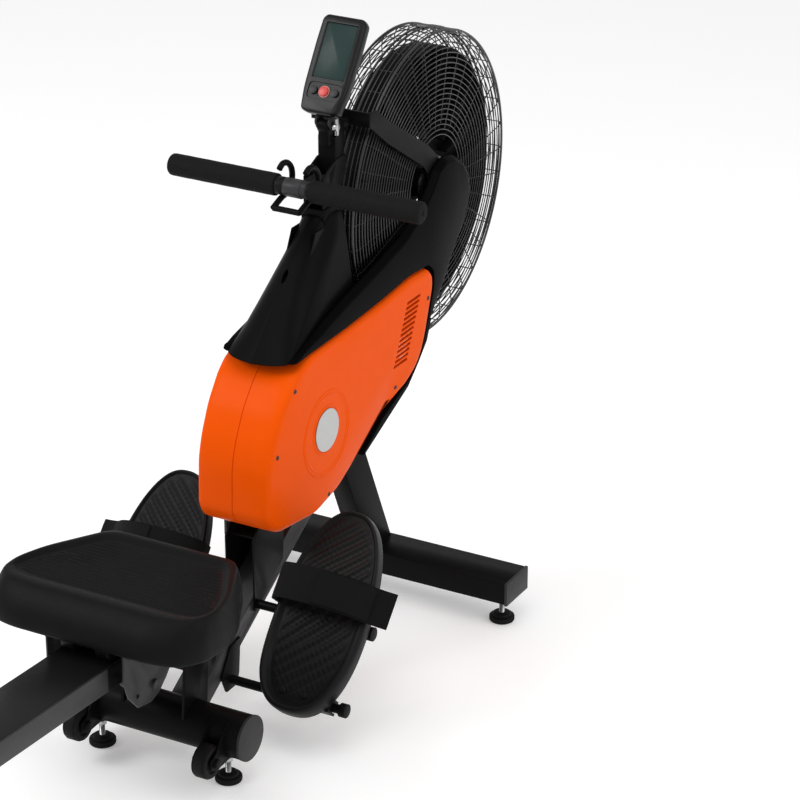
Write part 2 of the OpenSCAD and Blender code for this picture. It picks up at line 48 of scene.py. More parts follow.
# ---------------------------------------------------------------- materials
def material(name, color, rough=0.5, metal=0.0, var=0.1, scale=30.0, bump=0.0, bscale=400.0, dist=0.0004,
             coat=0.0, rvar=0.06, kind="noise", spec=0.5, sheen=0.0, stretch=(1, 1, 1)):
    m = bpy.data.materials.new(name)
    m.use_nodes = True
    nt = m.node_tree
    b = nt.nodes["Principled BSDF"]
    tc = nt.nodes.new("ShaderNodeTexCoord")
    mp = nt.nodes.new("ShaderNodeMapping")
    mp.inputs["Scale"].default_value = stretch
    nt.links.new(tc.outputs["Object"], mp.inputs["Vector"])
    n = nt.nodes.new("ShaderNodeTexNoise")
    n.inputs["Scale"].default_value = scale
    n.inputs["Detail"].default_value = 5
    nt.links.new(mp.outputs["Vector"], n.inputs["Vector"])
    mix = nt.nodes.new("ShaderNodeMix")
    mix.data_type = "RGBA"
    mix.inputs[6].default_value = tuple(c * (1 - var) for c in color) + (1,)
    mix.inputs[7].default_value = tuple(min(1, c * (1 + var)) for c in color) + (1,)
    nt.links.new(n.outputs["Fac"], mix.inputs[0])
    nt.links.new(mix.outputs[2], b.inputs["Base Color"])
    n2 = nt.nodes.new("ShaderNodeTexNoise")
    n2.inputs["Scale"].default_value = scale * 3.1
    n2.inputs["Detail"].default_value = 3
    nt.links.new(mp.outputs["Vector"], n2.inputs["Vector"])
    mr = nt.nodes.new("ShaderNodeMapRange")
    mr.inputs["To Min"].default_value = max(0.02, rough - rvar)
    mr.inputs["To Max"].default_value = min(1, rough + rvar)
    nt.links.new(n2.outputs["Fac"], mr.inputs["Value"])
    nt.links.new(mr.outputs["Result"], b.inputs["Roughness"])
    b.inputs["Metallic"].default_value = metal
    b.inputs["Specular IOR Level"].default_value = spec
    b.inputs["Coat Weight"].default_value = coat
    b.inputs["Coat Roughness"].default_value = 0.06
    b.inputs["Sheen Weight"].default_value = sheen
    if bump:
        if kind == "weave":
            w1 = nt.nodes.new("ShaderNodeTexWave")
            w1.bands_direction = "X"
            w1.inputs["Scale"].default_value = bscale
            w2 = nt.nodes.new("ShaderNodeTexWave")
            w2.bands_direction = "DIAGONAL"
            w2.inputs["Scale"].default_value = bscale * 0.8
            nt.links.new(tc.outputs["Object"], w1.inputs["Vector"])
            nt.links.new(tc.outputs["Object"], w2.inputs["Vector"])
            h = nt.nodes.new("ShaderNodeMath")
            h.operation = "MULTIPLY"
            nt.links.new(w1.outputs["Fac"], h.inputs[0])
            nt.links.new(w2.outputs["Fac"], h.inputs[1])
            src = h.outputs["Value"]
        elif kind == "grain":
            v = nt.nodes.new("ShaderNodeTexVoronoi")
            v.inputs["Scale"].default_value = bscale
            nt.links.new(tc.outputs["Object"], v.inputs["Vector"])
            src = v.outputs["Distance"]
        else:
            n3 = nt.nodes.new("ShaderNodeTexNoise")
            n3.inputs["Scale"].default_value = bscale
            n3.inputs["Detail"].default_value = 2
            nt.links.new(mp.outputs["Vector"], n3.inputs["Vector"])
            src = n3.outputs["Fac"]
        bp = nt.nodes.new("ShaderNodeBump")
        bp.inputs["Strength"].default_value = bump
        bp.inputs["Distance"].default_value = dist
        nt.links.new(src, bp.inputs["Height"])
        nt.links.new(bp.outputs["Normal"], b.inputs["Normal"])
    return m


STEEL = material("black_powder_coat", (0.0050, 0.0048, 0.0052), 0.40, bump=0.25, bscale=900, dist=0.0002, spec=0.05)
GREY = material("grey_powder_coat", (0.030, 0.030, 0.032), 0.40, bump=0.2, bscale=900, dist=0.0002, spec=0.2)
ZINC = material("zinc_plate", (0.52, 0.52, 0.53), 0.30, metal=1.0, var=0.12, scale=60)
ORANGE = material("orange_gloss", (0.83, 0.086, 0.001), 0.32, var=0.03, coat=0.0, rvar=0.03, spec=0.035)
BLACK = material("black_gloss", (0.0024, 0.0022, 0.0025), 0.28, spec=0.015, coat=0.0, rvar=0.05, bump=0.06, bscale=700, dist=0.0002)
SPINEM = material("shroud_satin", (0.0045, 0.0045, 0.0045), 0.33, spec=0.03, rvar=0.05, bump=0.10, bscale=800, dist=0.0002)
SILVER = material("silver_disc", (0.50, 0.50, 0.49), 0.36, metal=0.75, var=0.05, scale=80, bump=0.1, bscale=900,
                  dist=0.0001)
WIRE = material("guard_wire", (0.010, 0.010, 0.011), 0.28, spec=0.6, var=0.15)
FAN = material("fan_plastic", (0.002, 0.002, 0.002), 0.55, spec=0.08, bump=0.1, bscale=500)
RUBBER = material("rubber", (0.005, 0.005, 0.005), 0.62, spec=0.14, bump=0.3, bscale=700, dist=0.0003)
PLASTIC = material("grained_plastic", (0.0080, 0.0080, 0.0083), 0.42, spec=0.10, bump=0.35, bscale=900, dist=0.0002, kind="grain")
WEB = material("webbing", (0.0045, 0.0045, 0.005), 0.80, spec=0.10, bump=0.8, bscale=420, dist=0.0006, kind="weave", sheen=0.03)
FOAM = material("seat_skin", (0.0065, 0.0065, 0.0067), 0.46, spec=0.06, bump=0.45, bscale=650, dist=0.0003, kind="grain", var=0.12)
GRIP = material("grip_foam", (0.0085, 0.0085, 0.0088), 0.66, spec=0.06, bump=0.6, bscale=800, dist=0.0004, var=0.2, scale=90)
CASE = material("console_case", (0.004, 0.004, 0.0045), 0.30, spec=0.16, coat=0.03, rvar=0.04)
LCD = material("lcd_window", (0.021, 0.040, 0.037), 0.30, var=0.06, scale=12, spec=0.10, coat=0.02, rvar=0.02)
RED = material("red_cap", (0.55, 0.035, 0.030), 0.34, var=0.06)
PINK = material("red_border", (0.60, 0.22, 0.20), 0.40, var=0.06)
BUTTON = material("dark_cap", (0.020, 0.020, 0.022), 0.42, spec=0.3)
NYLON = material("nylon", (0.006, 0.006, 0.0065), 0.38, spec=0.15)
CAPM = material("end_cap_plastic", (0.026, 0.026, 0.028), 0.50, spec=0.2, bump=0.3, bscale=900, dist=0.0002, kind="grain")



def band_of(m, color, y0, front=True):
    """the part of the piece in front of y0 (metres) is coated in another colour"""
    nt = m.node_tree
    b = nt.nodes["Principled BSDF"]
    src = b.inputs["Base Color"].links[0].from_socket
    tc = nt.nodes.new("ShaderNodeTexCoord")
    sx = nt.nodes.new("ShaderNodeSeparateXYZ")
    nt.links.new(tc.outputs["Object"], sx.inputs[0])
    mr = nt.nodes.new("ShaderNodeMapRange")
    mr.inputs["From Min"].default_value = y0 - 0.0008
    mr.inputs["From Max"].default_value = y0 + 0.0008
    nt.links.new(sx.outputs["Y"], mr.inputs["Value"])
    mx = nt.nodes.new("ShaderNodeMix")
    mx.data_type = "RGBA"
    mx.inputs[7].default_value = tuple(color) + (1,)
    nt.links.new(mr.outputs["Result"], mx.inputs[0])
    nt.links.new(src, mx.inputs[6])
    nt.links.new(mx.outputs[2], b.inputs["Base Color"])
    return m


RAILM = band_of(material("rail_coat", (0.040, 0.040, 0.042), 0.40, bump=0.2, bscale=900, dist=0.0002, spec=0.16),
                (0.0045, 0.0045, 0.005), -0.225)
# ---------------------------------------------------------------- CAD nodes that stay
KEEP = dict(
    main_beam=(GREY, 1.0), mid_stabilizer=(STEEL, 0.8), front_stabilizer=(STEEL, 2.0), end_caps=(CAPM, 1.2),
    front_post=(STEEL, 2.0), frame_plates=(STEEL, 0.5), mast_channel=(STEEL, 1.2), mast_head=(STEEL, 0.8),
    housing_screws=(ZINC, 0.5), fan_axle=(ZINC, 0.4), fan_yoke=(STEEL, 0.7), guide_roller=(NYLON, 0.8),
    joint_pins=(ZINC, 0.6), hinge_lugs=(STEEL, 0.8), wheel_brackets=(STEEL, 0.6), pedal_axles=(STEEL, 0.8),
    housing_bracket=(STEEL, 0.6), frame_feet=(RUBBER, 1.0), drive_belt=(RUBBER, 0.3), drive_shaft=(ZINC, 0.5),
    strap_spool=(NYLON, 0.8), recoil_spring=(ZINC, 0.8), drive_pulley=(NYLON, 0.6), fan_pulley=(ZINC, 0.5),
    fan_wheel=(FAN, 0.5), wheel_left=(RUBBER, 1.5), wheel_right=(RUBBER, 1.5), rail=(RAILM, 1.5),
    rail_track=(NYLON, 0.7), rail_fittings=(RUBBER, 1.2), rear_stand=(STEEL, 1.5), lock_pin=(NYLON, 1.5),
    seat_carriage=(GREY, 0.7), roller_front=(NYLON, 1.0), roller_rear=(NYLON, 1.0), roller_lower=(NYLON, 1.0),
    handle_bar=(GREY, 1.0), button_left=(BUTTON, 1.2), button_center=(RED, 1.2), button_right=(BUTTON, 1.2),
)


def smooth(me, deg=35):
    me.shade_smooth()
    me.set_sharp_from_angle(angle=math.radians(deg))


def bevel(o, w, seg=2, weld=False, angle=38):
    if weld:
        wm = o.modifiers.new("weld", "WELD")
        wm.merge_threshold = 0.00002
    bm = o.modifiers.new("bevel", "BEVEL")
    bm.width = w * MM
    bm.segments = seg
    bm.limit_method = "ANGLE"
    bm.angle_limit = math.radians(angle)
    bm.harden_normals = False


for node, (m, w) in KEEP.items():
    o = N[node]
    o.data.materials.clear()
    o.data.materials.append(m)
    smooth(o.data, 32)
    bevel(o, w, 2, weld=True)


# ---------------------------------------------------------------- mesh helpers
def make(name, verts, faces, mat, body, deg=35, bev=0, rep=None):
    me = bpy.data.meshes.new(name)
    me.from_pydata([(x * MM, y * MM, z * MM) for x, y, z in verts], [], faces)
    me.validate()
    b = bmesh.new()
    b.from_mesh(me)
    bmesh.ops.remove_doubles(b, verts=b.verts, dist=1e-6)
    bmesh.ops.recalc_face_normals(b, faces=b.faces)
    b.to_mesh(me)
    b.free()
    smooth(me, deg)
    o = bpy.data.objects.new(name, me)
    bpy.context.scene.collection.objects.link(o)
    me.materials.append(mat)
    if bev:
        bevel(o, bev)
    if body:
        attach(o, body)
    if rep:
        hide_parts(*rep)
    return o


def nrm(a, b):
    dx, dy = b[0] - a[0], b[1] - a[1]
    l = math.hypot(dx, dy) or 1e-9
    return (-dy / l, dx / l)


def inset(P, d):
    n = len(P)
    out = []
    for i in range(n):
        a, b, c = P[i - 1], P[i], P[(i + 1) % n]
        m, k = nrm(a, b), nrm(b, c)
        di = d[i] if isinstance(d, (list, tuple)) else d
        q = max(0.35, 1 + m[0] * k[0] + m[1] * k[1])
        out.append((b[0] + di * (m[0] + k[0]) / q, b[1] + di * (m[1] + k[1]) / q))
    return out


def rounded(P, r, steps=5, tags=None):
    out, tg = [], []
    n = len(P)
    for i in range(n):
        a, b, c = Vector(P[i - 1]), Vector(P[i]), Vector(P[(i + 1) % n])
        la, lc = (a - b).length, (c - b).length
        t = min(r, 0.42 * la, 0.42 * lc)
        p, q = b + (a - b) * t / la, b + (c - b) * t / lc
        for j in range(steps):
            u = j / (steps - 1)
            w = p * (1 - u) ** 2 + b * 2 * u * (1 - u) + q * u * u
            out.append((w.x, w.y))
            tg.append(tags[i] if tags else 0)
    return (out, tg) if tags else out


def chaikin(P, k=3):
    for _ in range(k):
        Q = []
        n = len(P)
        for i in range(n):
            a, b = P[i], P[(i + 1) % n]
            Q.append((a[0] * 0.75 + b[0] * 0.25, a[1] * 0.75 + b[1] * 0.25))
            Q.append((a[0] * 0.25 + b[0] * 0.75, a[1] * 0.25 + b[1] * 0.75))
        P = Q
    return P


def loft(rings, cap=True, closed=False):
    n = len(rings[0])
    V = [p for r in rings for p in r]
    F = []
    m = len(rings)
    for i in range(m if closed else m - 1):
        k = (i + 1) % m
        for j in range(n):
            F.append((i * n + j, i * n + (j + 1) % n, k * n + (j + 1) % n, k * n + j))
    if cap and not closed:
        F.append(tuple(range(n))[::-1])
        F.append(tuple(range((m - 1) * n, m * n)))
    return V, F


def merge(parts):
    V, F = [], []
    for v, f in parts:
        o = len(V)
        V += v
        F += [tuple(i + o for i in q) for q in f]
    return V, F


def boxm(x0, x1, y0, y1, z0, z1, tf=lambda p: p):
    v = [tf(p) for p in [(x0, y0, z0), (x1, y0, z0), (x1, y1, z0), (x0, y1, z0), (x0, y0, z1), (x1, y0, z1),
                         (x1, y1, z1), (x0, y1, z1)]]
    return v, [(0, 3, 2, 1), (4, 5, 6, 7), (0, 1, 5, 4), (1, 2, 6, 5), (2, 3, 7, 6), (3, 0, 4, 7)]


def latheX(prof, c, n=64, tf=lambda p: p, closed=False):
    rings = [[tf((x, c[0] + r * math.cos(2 * math.pi * j / n), c[1] + r * math.sin(2 * math.pi * j / n)))
              for j in range(n)] for x, r in prof]
    return loft(rings, cap=not closed, closed=closed)


def torus(x, r, w, c, n=96, k=8):
    return latheX([(x + w * math.cos(2 * math.pi * i / k), r + w * math.sin(2 * math.pi * i / k)) for i in range(k)],
                  c, n, closed=True)


def tube(pts, r, n=10):
    P = [Vector(p) for p in pts]
    rings = []
    up = None
    for i, p in enumerate(P):
        d = (P[min(i + 1, len(P) - 1)] - P[max(i - 1, 0)]).normalized()
        if up is None:
            up = d.orthogonal().normalized()
        up = (up - d * up.dot(d)).normalized()
        s = d.cross(up)
        rings.append([tuple(p + (up * math.cos(2 * math.pi * j / n) + s * math.sin(2 * math.pi * j / n)) * r)
                      for j in range(n)])
    return loft(rings)


def catmull(P, k=6):
    out = []
    n = len(P)
    P = [Vector(p) for p in P]
    for i in range(n - 1):
        a, b, c, d = P[max(i - 1, 0)], P[i], P[i + 1], P[min(i + 2, n - 1)]
        for j in range(k):
            t = j / k
            out.append(tuple(0.5 * ((2 * b) + (c - a) * t + (2 * a - 5 * b + 4 * c - d) * t * t
                                    + (3 * b - a - 3 * c + d) * t ** 3)))
    out.append(tuple(P[-1]))
    return out


def strip(pts, w0, w1, th, tf=lambda p: p, wave=0.0):
    """band along a centre line in a plane, across from w0 to w1"""
    n = len(pts)
    rings = []
    for i in range(n):
        a, b = pts[max(0, i - 1)], pts[min(n - 1, i + 1)]
        nx, ny = nrm(a, b)
        px, py = pts[i]
        ring = []
        h = th / 2
        W = 7
        for k in range(W):
            u = k / (W - 1)
            w = w0 + (w1 - w0) * u
            o = h * (0.55 if k in (0, W - 1) else 1) + wave * math.sin(u * math.pi) * math.sin(i * 0.45)
            ring.append(tf((px + nx * o, w, py + ny * o)))
        for k in range(W - 1, -1, -1):
            u = k / (W - 1)
            w = w0 + (w1 - w0) * u
            o = -h * (0.55 if k in (0, W - 1) else 1) + wave * math.sin(u * math.pi) * math.sin(i * 0.45)
            ring.append(tf((px + nx * o, w, py + ny * o)))
        rings.append(ring)
    return loft(rings)


def length2(pts):
    return sum(math.dist(pts[i], pts[i + 1]) for i in range(len(pts) - 1))


def cut(o, cutters):
    """boolean differences, applied to the mesh one after the other"""
    for c in cutters:
        m = o.modifiers.new("cut", "BOOLEAN")
        m.operation = "DIFFERENCE"
        m.solver = "EXACT"
        m.object = c
        bpy.context.view_layer.update()
        dg = bpy.context.evaluated_depsgraph_get()
        me = bpy.data.meshes.new_from_object(o.evaluated_get(dg))
        o.modifiers.clear()
        if len(me.vertices) < 8:
            print("empty after a cut in", o.name)
            bpy.data.meshes.remove(me)
        else:
            old = o.data
            o.data = me
            bpy.data.meshes.remove(old)
            b = bmesh.new()
            b.from_mesh(me)
            bmesh.ops.remove_doubles(b, verts=b.verts, dist=2e-6)
            bmesh.ops.dissolve_degenerate(b, edges=b.edges, dist=2e-6)
            bmesh.ops.recalc_face_normals(b, faces=b.faces)
            b.to_mesh(me)
            b.free()
        d = c.data
        bpy.data.objects.remove(c)
        bpy.data.meshes.remove(d)
    smooth(o.data, 30)
    return o


def cutter(vf):
    return make("cutter", vf[0], vf[1], RUBBER, None)


def mir(vf):
    return [(-x, y, z) for x, y, z in vf[0]], [tuple(reversed(f)) for f in vf[1]]


RA, PA, CA = math.radians(3.2), math.radians(48), math.radians(56)


def on_rail(p):
    x, y, z = p
    return (x, y * math.cos(RA) + z * math.sin(RA), -y * math.sin(RA) + z * math.cos(RA) + 288)


def on_pedal(p):
    x, y, z = p
    return (x, 165 + y * math.cos(PA) - z * math.sin(PA), 80 + y * math.sin(PA) + z * math.cos(PA))


def on_con(p):
    x, y, z = p
    return (x, 527 + y * math.cos(CA) - z * math.sin(CA), 964 + y * math.sin(CA) + z * math.cos(CA))


SIDES = (("right", 1), ("left", -1))
HUB, DRV, GR, BAR = (843, 741), (410, 451), (524, 840), (443, 860)

# ---------------------------------------------------------------- orange drive housing
HSG = [(225, 356), (240, 332), (264, 319), (379, 306), (460, 316), (538, 352), (611, 393), (700, 427), (728, 441),
       (749, 462), (766, 498), (792, 574), (791, 598), (775, 614), (711, 618), (612, 610), (485, 604), (361, 603),
       (326, 589), (302, 572), (266, 530), (240, 480), (228, 440)]
HR = rounded(HSG, 16, 5)


def ss(t):
    t = max(0.0, min(1.0, t))
    return t * t * (3 - 2 * t)


def side_x(y, z):
    """how far the outer face falls back from its flat middle"""
    dx, dz = 624 - 481, 467 - 384
    l = math.hypot(dx, dz)
    d1 = ((y - 481) * dz - (z - 384) * dx) / l
    a = 0.14 * max(0.0, d1) * ss((690 - y) / 70) * ss((y - 300) / 120)
    d2 = z - (570 + (y - 440) * 0.042)
    b = 0.10 * max(0.0, d2) * ss((y - 380) / 60) * ss((600 - y) / 60)
    d3 = 330 - y
    return a + b + 0.05 * max(0.0, d3)


def housing(s):
    out = []
    for x, d in [(0.25, 1.0), (1.1, 0.1), (22, 0), (45, 0), (60, 0.3), (66, 1.1), (70, 2.8), (73, 5.4), (74.6, 8.6),
                 (75, 11.5)]:
        q = inset(HR, d)
        out.append([(x, y, z) for y, z in q])
    V, F = loft(out)
    o = make("drive_shell_" + ("right" if s > 0 else "left"), V, F, ORANGE, None)
    b = bmesh.new()
    b.from_mesh(o.data)
    cap = [f for f in b.faces if all(v.co.x > 0.0749 for v in f.verts)]
    geom = list({e for f in cap for e in f.edges} | {v for f in cap for v in f.verts}) + cap
    for k in range(24):
        for co, no in (((0, (240 + k * 24) * MM, 0), (0, 1, 0)), ((0, 0, (312 + k * 13) * MM), (0, 0, 1))):
            fs = [f for f in b.faces if all(v.co.x > 0.0749 for v in f.verts)]
            geom = list({e for f in fs for e in f.edges} | {v for f in fs for v in f.verts}) + fs
            bmesh.ops.bisect_plane(b, geom=geom, plane_co=co, plane_no=no, dist=1e-6)
    for v in b.verts:
        if v.co.x > 0.060:
            t = ss((v.co.x / MM - 60) / 14)
            v.co.x -= side_x(v.co.y / MM, v.co.z / MM) * t * MM
    bmesh.ops.triangulate(b, faces=[f for f in b.faces if len(f.verts) > 4])
    b.to_mesh(o.data)
    b.free()
    inner = []
    for x, d in [(-2, 2.6), (60, 2.8), (67, 6), (69.0, 10.5)]:
        inner.append([(x, y, z) for y, z in inset(HR, d)])
    cs = [cutter(boxm(-3.4, 26.3, 431.2, 660.7, 289.1, 413.7)), cutter(loft(inner)),
          cutter(boxm(-1, 54, 560, 860, 560, 660)), cutter(boxm(-1, 54, 722, 1022, 400, 700)),
          cutter(boxm(-1, 62, 372, 780, 590, 640))]
    slots = merge([boxm(60, 80, 644 + i * 4, 692 + i * 4, 470.6 + i * 8.6, 476.2 + i * 8.6) for i in range(13)])
    cs.append(cutter(slots))
    holes = merge([latheX([(60, 4.6), (80, 4.6)], p, 16) for p in [(655, 432), (420, 326)]])
    cut(o, cs)
    if s < 0:
        for v in o.data.vertices:
            v.co.x = -v.co.x
        o.data.flip_normals()
        smooth(o.data, 30)
    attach(o, "frame")
    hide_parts("housing_" + ("right" if s > 0 else "left"))
    # embossed rings round the hub disc
    prof = [(73.6, 65), (75.2, 66.2), (75.9, 68), (75.9, 69.6), (75.15, 70.6), (75.15, 73.4), (76.1, 74.6),
            (76.1, 76.2), (75.2, 77.6), (73.6, 78.4)]
    vf = latheX(prof, (411, 444), 96, closed=True)
    vf2 = latheX([(73.6, 39.5), (75.5, 40), (76.2, 41.5), (76.2, 43.5), (75.4, 45), (73.6, 45.5)], DRV, 72, closed=True)
    vf = merge([vf, vf2])
    if s < 0:
        vf = mir(vf)
    make("shell_ring_" + ("right" if s > 0 else "left"), vf[0], vf[1], ORANGE, "frame")


for nm, s in SIDES:
    housing(s)

discs = []
for s in (1, -1):
    vf = latheX([(74.9, 2), (74.9, 37), (76.6, 38), (77.4, 37.4), (77.5, 36), (77.2, 33.5), (77.9, 20), (78.1, 0.5)],
                DRV, 72)
    discs.append(vf if s > 0 else mir(vf))
o = make("hub_discs", *merge(discs), SILVER, "frame", rep=["side_discs"])

# ---------------------------------------------------------------- black upper covers
ROOF = [(310, 604), (361, 606), (485, 607), (612, 613), (711, 621), (778, 617), (796, 600), (796, 574), (774, 508),
        (790, 515), (815, 537), (847, 571), (864, 596), (888, 624), (909, 645), (928, 673), (940, 703), (936, 740),
        (915, 770), (880, 790), (843, 797), (812, 785), (785, 754), (747, 726), (693, 699), (600, 678), (553, 668),
        (485, 655), (417, 637), (345, 614)]
KT = [0.02, 0.05, 0.1, 0.15, 0.2, 0.2, 0.2, 0.2, 0.1, 0.3] + [0.8] * 7 + [1] * 10 + [1, 0.8, 0.15]
ROOF_IN = [(425, 611), (485, 612), (612, 618), (711, 626), (780, 622), (801, 603), (802, 548), (812, 541), (843, 575),
           (860, 600), (884, 627), (905, 648), (924, 675), (936, 703), (932, 739), (912, 767), (879, 786), (843, 793),
           (815, 782), (788, 750), (749, 723), (694, 695), (600, 674), (554, 664), (486, 651), (425, 634)]
RP, RT = rounded(ROOF, 9, 4, KT)


def cover(s):
    side = "right" if s > 0 else "left"
    rings = []
    for x, d in [(57.5, 0.6), (58.3, 0), (60.5, 0.2), (68.5, 6.5), (70.3, 9.0), (71.2, 13.0)]:
        q = inset(RP, [d * max(0.05, t) for t in RT])
        # the front tip runs out in a slanted end
        ym = 296 + (x - 59.7) * 2.69
        for k in range(4):
            if q[k][0] < ym:
                q[k] = (ym, 604 + (ym - 310) * (0.286 * (1 - k / 3) + 0.039 * k / 3))
        rings.append([(x, y, z) for y, z in q])
    V, F = loft(rings)
    o = make("cover_wing_" + side, V, F, BLACK, None)
    b = bmesh.new()
    b.from_mesh(o.data)
    bmesh.ops.triangulate(b, faces=[f for f in b.faces if len(f.verts) > 4])
    b.to_mesh(o.data)
    b.free()
    inn = [[(x, y, z) for y, z in ROOF_IN] for x in (56, 68.0)]
    inn[1] = [(68.0, y, z) for y, z in inset(ROOF_IN, 5)]
    inn.insert(1, [(60.0, y, z) for y, z in inset(ROOF_IN, 0.8)])
    cut(o, [cutter(loft(inn))])
    # skirt below the orange shell's front edge
    sk = [(548, 344), (705, 412), (742, 443), (775, 475), (792, 514), (774, 514), (768, 496), (751, 460.5),
          (729, 439), (701, 425), (612, 391), (546, 353)]
    rr = [[(x, y, z) for y, z in inset(sk, d)] for x, d in [(0.3, 0.3), (1, 0), (64, 0), (69, 1), (70.6, 2.6)]]
    k = make("cover_skirt_" + side, *loft(rr), BLACK, None)
    cut(k, [cutter(boxm(-1, 54, 738, 1038, 400, 700)), cutter(boxm(-1, 21, 530, 610, 330, 420))])
    # valley floor between the spine and the wing
    fl = merge([boxm(27.5, 57.3, 333, 557, 606, 608.5)])
    f = make("cover_floor_" + side, *fl, BLACK, None, bev=0.5)
    for q in (o, k, f):
        if s < 0:
            for v in q.data.vertices:
                v.co.x = -v.co.x
            q.data.flip_normals()
            smooth(q.data, 30)
        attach(q, "frame")
    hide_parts("upper_cover_" + side)


for nm, s in SIDES:
    cover(s)


# hood: wide ramp that rises from behind the housing up to the mast
def hood():
    lev = [(603.5, 291, 318, 59), (612, 300, 330, 57.5), (625, 313, 350, 55), (640, 329, 371, 52.5), (665, 354, 403, 49),
           (690, 379, 434, 45.5), (715, 404, 466, 42), (740, 430, 499, 38.5), (760, 452, 519, 35.5), (776, 470, 527, 32),
           (786, 481, 530, 29.5), (791, 489, 532, 28)]
    n = 15
    rows = []
    for z, yc, ye, w in lev:
        half = []
        for k in range(n):
            u = k / (n - 1)
            x = w * (1 - (1 - u) ** 1.12)
            y = yc + (ye - yc) * (0.35 * u + 0.65 * u ** 3.2)
            half.append((x, y, z))
        half.append((w - 0.1, ye + 0.35 * (546 - ye), z))
        half.append((w - 0.8, 548, z))
        rows.append([(-x, y, z) for x, y, z in reversed(half[1:])] + half)
    m = len(rows[0])
    top = [(x * 0.9, max(y, 492) + 1, 792.4) for x, y, z in rows[-1]]
    rows.append(top)
    V = [p for r in rows for p in r]
    F = [(i * m + k, i * m + k + 1, (i + 1) * m + k + 1, (i + 1) * m + k) for i in range(len(rows) - 1)
         for k in range(m - 1)]
    # lid round the mast
    F.append(tuple((len(rows) - 1) * m + k for k in range(m)))
    o = make("cover_hood", V, F, SPINEM, None, deg=50)
    sol = o.modifiers.new("wall", "SOLIDIFY")
    sol.thickness = 2.4 * MM
    sol.offset = -1
    hole = loft([[((4.2 * math.cos(t)), 430 + dy, 716 + 9.5 * math.sin(t)) for t in
                  [2 * math.pi * i / 20 for i in range(20)]] for dy in (-60, 20)])
    cut(o, [cutter(hole), cutter(boxm(-23.5, 23.5, 498, 550, 760, 800))])
    smooth(o.data, 50)
    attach(o, "frame")
    # gusset plate between the hood and the mast, one on each side; the three-cornered opening is not cut
    parts = []
    for s in (1, -1):
        g = [[(x, y, z) for y, z in [(470, 776), (500, 776), (500, 700), (476, 690), (440, 716)]]
             for x in (s * 22.2, s * 24.2)]
        parts.append(loft(g))
    k = make("hood_gussets", *merge(parts), STEEL, "frame")


hood()

# ---------------------------------------------------------------- wire guard
G = 278


def gx(s):
    return 2 + s if s < 34 else (36 + 8 * math.sin((s - 34) / 32 * math.pi / 2) if s < 66 else
                                 44 + 2.5 * math.sin(min(90, (s - 66) / 2) * math.pi / 180))


def gr_(s):
    return G - 2.75 if s < 34 else (G - 2 - 14 * (1 - math.cos((s - 34) / 32 * math.pi / 2)) - (s - 34) * 0.3 if s < 66
                                 else G - 25.6 - (s - 66))


def guard(s):
    side = "right" if s > 0 else "left"
    parts = []
    for d in [2.5, 11.5, 20.5, 29.5] + [38 + 9.0 * i for i in range(22)]:
        thick = 2.2 if d in (2.5, 38) else 1.08
        parts.append(torus(gx(d), gr_(d), thick, HUB, 120, 8))
    V, F = merge(parts)
    if s < 0:
        V, F = mir((V, F))
    o = make("guard_rings_" + side + "_wires", V, F, WIRE, "frame", rep=["guard_rings_" + side])
    parts = []
    for i in range(36):
        t = math.radians(i * 10 + 7)
        pts = []
        for d in [0, 12, 24, 34, 40, 46, 52, 59, 66, 90, 120, 150, 180, 205, 215 if i % 2 == 0 else 205]:
            r = gr_(d) - 2.4
            x = gx(d) - (0.3 if d < 34 else 2.2)
            pts.append((x, HUB[0] + r * math.cos(t), HUB[1] + r * math.sin(t)))
        q = [pts[0]]
        for p in pts[1:]:
            if math.dist(p, q[-1]) > 0.5:
                q.append(p)
        parts.append(tube(q, 1.02, 6))
    # centre plate
    parts.append(latheX([(40.5, 11.5), (40.5, 52), (43.5, 53), (45.2, 50), (45.8, 40), (46.2, 22), (45.5, 12.5)], HUB, 72,
                        closed=True))
    V, F = merge(parts)
    if s < 0:
        V, F = mir((V, F))
    o = make("guard_spokes_" + side + "_wires", V, F, WIRE, "frame", rep=["guard_spokes_" + side])


for nm, s in SIDES:
    guard(s)
# clips that hold the two guard halves together
clips = []
for a in (82, 172, 262, 352):
    t = math.radians(a)
    c, sn = math.cos(t), math.sin(t)

    def tf(p, c=c, sn=sn):
        x, u, v = p
        return (x, HUB[0] + v * c - u * sn, HUB[1] + v * sn + u * c)
    clips.append(boxm(-9, 9, -8, 8, 271.5, 277.8, tf))
make("guard_clips", *merge(clips), WIRE, "frame", bev=1.2)

# ---------------------------------------------------------------- hooks that hold the handle
HOOK = [(436, 891), (447, 897), (462, 894), (474, 882), (477, 866), (471, 850), (458, 842), (440, 839), (414, 830)]
hp = catmull([(25, y, z) for y, z in HOOK], 5)
parts = [tube(hp, 5.2, 14), mir(tube(hp, 5.2, 14)), tube([(-25, 415, 830), (0, 415, 830), (25, 415, 830)], 5.2, 14),
         boxm(-27, 27, 474, 479, 843, 853), boxm(-13, 13, 476, 503, 842, 850)]
o = make("handle_hooks", *merge(parts), STEEL, "frame", rep=["handle_holder"], bev=0)

# ---------------------------------------------------------------- seat
OUTL = [(-126, 53), (-186, -60), (-200, -122), (-198, -182), (-173, -221), (-128, -233), (128, -233), (173, -221),
        (198, -182), (200, -122), (186, -60), (126, 53)]
TOPL = [(-119, 46), (-175, -66), (-190, -125), (-186, -170), (-160, -194), (-120, -200), (120, -200), (160, -194),
        (186, -170), (190, -125), (175, -66), (119, 46)]
PANL = [(-106, 20), (-160, -72), (-177, -124), (-174, -146), (-157, -158), (-120, -161), (120, -161), (157, -158),
        (174, -146), (177, -124), (160, -72), (106, 20)]
STEPS = [max(1, round(math.dist(p, q) / 4.2)) for p, q in zip(rounded(OUTL, 24, 6), rounded(OUTL, 24, 6)[1:] +
                                                              rounded(OUTL, 24, 6)[:1])]


